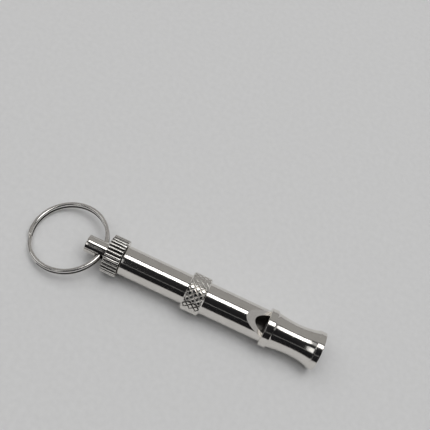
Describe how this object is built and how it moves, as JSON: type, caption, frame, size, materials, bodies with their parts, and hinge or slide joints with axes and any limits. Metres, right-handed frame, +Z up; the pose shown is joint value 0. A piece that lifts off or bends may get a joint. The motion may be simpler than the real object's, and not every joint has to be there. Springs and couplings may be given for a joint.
{
  "type": "training whistle",
  "caption": "Adjustable metal dog-training whistle with a ramp-cut window, knurled collar, fluted lock nut, screw plunger and split key ring.",
  "frame": {"origin": "middle of the base of the whole object, whistle and key ring, as it lies on a flat surface", "axes": "+X along the whistle's axis towards the mouth end, +Z up, window on the upper side turned towards -Y"},
  "size_m": [0.0958, 0.025, 0.012],
  "materials": {
    "nickel_mouthpiece": "polished nickel plate",
    "nickel_barrels": "polished nickel plate",
    "nickel_knurl": "diamond knurl, nickel plate",
    "nickel_nut": "fluted, nickel plate",
    "nickel_screw": "polished nickel plate",
    "nickel_plug": "dull nickel plate",
    "plain_brass": "plain turned",
    "seal_rubber": "smooth",
    "spring_steel": "plain",
    "ring_steel": "bright, lightly worn"
  },
  "bodies": {
    "barrel": {"mouthpiece": "nickel_mouthpiece", "windway_plug": "nickel_plug", "front_barrel": "nickel_barrels", "knurled_collar": "nickel_knurl", "rear_barrel": "nickel_barrels", "end_bush": "plain_brass"},
    "lock_nut": {"lock_nut": "nickel_nut"},
    "plunger": {"plunger": "plain_brass", "plunger_seal": "seal_rubber"},
    "tuning_screw": {"tuning_screw": "nickel_screw", "plunger_clip": "spring_steel"},
    "key_ring": {"split_ring": "ring_steel"}
  },
  "joints": [
    {"name": "lock_nut_turn", "type": "hinge", "parent": "barrel", "child": "lock_nut", "pos_m": [-0.01965, 0, 0.006], "axis": [1, 0, 0], "range_deg": [-180, 90]},
    {"name": "plunger_travel", "type": "slide", "parent": "barrel", "child": "plunger", "axis": [-1, 0, 0], "range_m": [0, 0.008]},
    {"name": "tuning_screw_turn", "type": "hinge", "parent": "plunger", "child": "tuning_screw", "pos_m": [-0.02915, 0, 0.006], "axis": [-1, 0, 0], "range_deg": [0, 3600]},
    {"name": "key_ring_swing", "type": "hinge", "parent": "tuning_screw", "child": "key_ring", "pos_m": [-0.02375, 0, 0.006], "axis": [0, 1, 0], "range_deg": [-78, 102]}
  ],
  "couplings": [
    {"joint": "plunger_travel", "follows": "tuning_screw_turn", "m_per_rad": 0.00012732}
  ]
}
